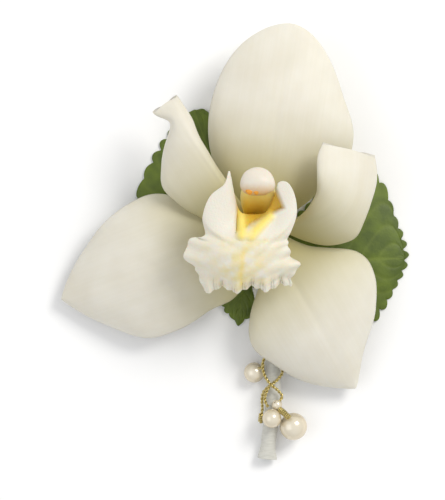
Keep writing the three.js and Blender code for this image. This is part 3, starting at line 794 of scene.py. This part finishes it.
tape_points, tape_faces = wind_tape(420, 64)
tape = add_mesh("stem_tape_winding", (tape_points + FLOWER_CENTRE) / 1000, tape_faces, [crepe_paper])
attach(tape, "root")
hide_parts("stem_tape")

# Florist's lacquer: dull dark green over steel, with a faint gloss.
wire_lacquer = speckled(
    "green_wire_lacquer", "3F5238", "56694B", 800.0, Roughness=0.35, Coat_Weight=0.3)[0]
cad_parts["stem_wire"].material_slots[0].material = wire_lacquer


# ---- Pearls ---------------------------------------------------------------------------
# Faux pearls: drilled beads under a nacre lacquer, cream with a soft sheen and a sharp
# highlight. Each is threaded on gold wire through its drilled hole.

WIRE_GAP = 0.3
BESIDE_TAPE = TAPE_RADIUS + WIRE_GAP
left_x, left_y, _ = STEM_ROUTE[2]
stem_x, stem_y, stem_z = STEM_ROUTE[3]
# Each pearl's diameter, its centre on or beside the stem, and the way its hole runs.
PEARLS = {
    "left_pearl": (6, (left_x - BESIDE_TAPE - 3, left_y, 3 + WIRE_GAP), (0.5, 0.7, 0.5)),
    "centre_pearl": (5.5, (stem_x, stem_y - 1, stem_z + BESIDE_TAPE + 2.75), (0.1, 0.9, 0.35)),
    "large_pearl": (8, tuple(LARGE_PEARL_CENTRE), (-0.55, 0.7, 0.4)),
    "small_bead": (3, (stem_x + 1.5, stem_y + 2.8, stem_z + BESIDE_TAPE + 1.5), (-0.5, 0.6, 0.6)),
}
# Nacre lacquer: cream and softly metallic under a clear coat, and darker where it turns away.
nacre, nacre_tree, nacre_bsdf, nacre_body = speckled(
    "nacre_lacquer", "E0D6BF", "ECE5D3", 260.0, 3.0, Roughness=0.2, IOR=1.53, Metallic=0.25,
    Coat_Weight=0.9, Coat_Roughness=0.05)
nacre_edge = add_node(nacre_tree, "ShaderNodeLayerWeight", {"Blend": 0.35})
nacre_colour = add_node(nacre_tree, "ShaderNodeMix", {7: linear("C9B283")},
                        {0: nacre_edge.outputs["Facing"], 6: nacre_body.outputs[2]}, data_type="RGBA")
nacre_tree.links.new(nacre_colour.outputs[2], nacre_bsdf.inputs["Base Color"])


HOLE_RADIUS = 0.38
HOLE_BEVEL = 0.2


def drilled_bead(name, diameter, centre, hole_axis):
    """A round bead with a bevelled hole from end to end along hole_axis."""
    radius = diameter / 2
    angle_at_hole = math.asin(HOLE_RADIUS / radius)
    polar = np.linspace(angle_at_hole, math.pi - angle_at_hole, 44)
    rim_z = radius * math.cos(angle_at_hole)
    profile = [(radius * math.sin(a), radius * math.cos(a)) for a in polar]
    bore = 0.9 * HOLE_RADIUS
    profile += [(bore, -rim_z + HOLE_BEVEL), (bore, rim_z - HOLE_BEVEL)]
    sides = 56
    axis = Vector(hole_axis).normalized()
    turn = axis.to_track_quat("Z", "Y")
    points = []
    for r, z in profile:
        for j in range(sides):
            a = 2 * math.pi * j / sides
            points.append(np.array(turn @ Vector((r * math.cos(a), r * math.sin(a), z))) + centre)
    rows, faces = len(profile), []
    for i in range(rows):
        for j in range(sides):
            k, n = (j + 1) % sides, (i + 1) % rows
            faces.append((i * sides + j, n * sides + j, n * sides + k, i * sides + k))
    return add_mesh(name, (np.array(points) + FLOWER_CENTRE) / 1000, faces, [nacre])


for pearl_name, (diameter, centre, hole_axis) in PEARLS.items():
    bead = drilled_bead(pearl_name + "_bead", diameter, np.array(centre), hole_axis)
    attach(bead, "root")
    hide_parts(pearl_name)


# ---- Gold wire ------------------------------------------------------------------------
# Soft brass craft wire, bright gold, bent by hand: two strands cross over the stem, twist
# together below the crossing and end in small coils and loops that carry the pearls.

# The wire's own radius, and how far and how often the two wires of a strand wind round it.
GOLD_RADIUS = 0.23
TWIST_RADIUS = 0.24
TWIST_PITCH = 2.2
STRAND_STEPS = 40

# Drawn brass wire with a gold wash: a pale metal with bright, narrow reflections.
bright_gold = speckled("bright_gold_wire", "B9A65E", "DCCE94", 1200.0, Roughness=0.25, Metallic=1.0)[0]


def twisted_strand(route, start_angle, radius, pitch):
    """The path of one wire of a twisted pair, or of a coil, round a route."""
    centre = points_along(route, np.linspace(0, 1, STRAND_STEPS * len(route)))
    along = np.gradient(centre, axis=0)
    along /= np.linalg.norm(along, axis=1, keepdims=True)
    one = np.cross(along, [0.31, 0.17, 0.94])
    one /= np.linalg.norm(one, axis=1, keepdims=True)
    two = np.cross(along, one)
    length = np.concatenate([[0], np.cumsum(np.linalg.norm(np.diff(centre, axis=0), axis=1))])
    angle = (2 * np.pi * length / pitch + start_angle)[:, None]
    return centre + radius * (one * np.cos(angle) + two * np.sin(angle))


TWISTED_WIRES = {
    "gold_left_wire": [
        (2.4, -36.4, 6.2), (1.1, -38.4, 6.6), (0.9, -40.8, 6.8), (1.8, -43.4, 7),
        (3.3, -45.4, 7.4), (5, -46.8, 7.2), (6.4, -48.6, 6.5), (5.8, -50.2, 6.8)],
    "gold_right_wire": [
        (6.4, -39.2, 5.6), (6.6, -41.8, 6), (5.1, -44, 6.5), (3.1, -45.6, 6.5),
        (1.9, -47.6, 6.5), (1.5, -49.8, 6.5), (2.4, -51.8, 6.9)],
    "gold_left_loop": [
        (2.8, -45.8, 6.2), (1.2, -47.4, 5.8), (0.7, -49.6, 5.2), (0.8, -52.4, 4.8), (0.4, -55, 4.8)],
    "gold_pearl_shank": [(1.2, -39.6, 6.6), (0.4, -40.4, 5.8), (-0.4, -40.9, 5.2)],
}
# Coils: the route, the coil's radius and the pitch of its turns.
GOLD_COILS = {
    "gold_small_coil": ([(0.5, -54, 4.8), (0.2, -56.4, 4.6)], 0.55, 0.5),
    "gold_large_pearl_coil": ([(5.6, -52.4, 7.6), (7, -53.4, 8.9), (8.4, -54.8, 9.6)], 0.7, 0.55),
}
for wire_name, route in TWISTED_WIRES.items():
    for number, start_angle in enumerate((0, math.pi)):
        path = twisted_strand(route, start_angle, TWIST_RADIUS, TWIST_PITCH)
        strand_name = wire_name + "_" + str(number + 1)
        strand = round_rod(strand_name, path, GOLD_RADIUS, len(path), 10, [bright_gold])
        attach(strand, "root")
        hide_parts("inner_wire", "outer_wire")
for coil_name, (route, radius, pitch) in GOLD_COILS.items():
    path = twisted_strand(route, 0, radius, pitch)
    winding = round_rod(coil_name, path, GOLD_RADIUS, 2 * len(path), 10, [bright_gold])
    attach(winding, "root")
